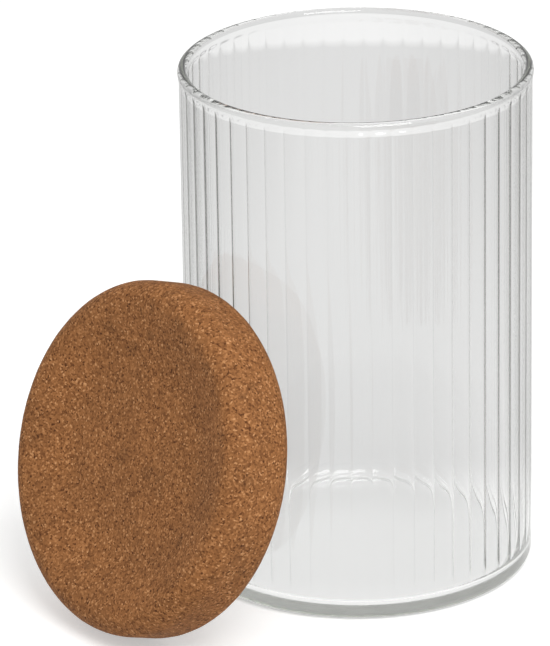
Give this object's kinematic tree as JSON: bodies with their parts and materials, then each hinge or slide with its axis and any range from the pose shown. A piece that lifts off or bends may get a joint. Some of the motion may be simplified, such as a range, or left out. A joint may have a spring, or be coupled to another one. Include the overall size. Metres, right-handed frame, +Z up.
{
  "type": "glass jar with cork lid",
  "caption": "Straight clear glass storage jar with fine vertical ribs inside and a plain rim, and a loose round cork lid with rounded edges and a dished top leaning on it.",
  "frame": {"origin": "centre of the jar's foot, on the surface it stands on", "axes": "+Z up along the jar's axis, the picture looks along +Y, and the lid leans on the jar's left front, towards -X and -Y"},
  "size_m": [0.1482, 0.1415, 0.15],
  "materials": {
    "clear_glass": "clear fire-polished glass, faint green-yellow at the edges",
    "cork": "fine agglomerated cork, matt, with small darker and lighter granules"
  },
  "bodies": {
    "jar": {"glass_jar": "clear_glass"},
    "lid": {"cork_lid": "cork"}
  },
  "joints": [
    {"name": "lid_lift", "type": "slide", "parent": "jar", "child": "lid", "axis": [-0.5534, -0.4402, 0.7071], "range_m": [0, 0.2]}
  ]
}
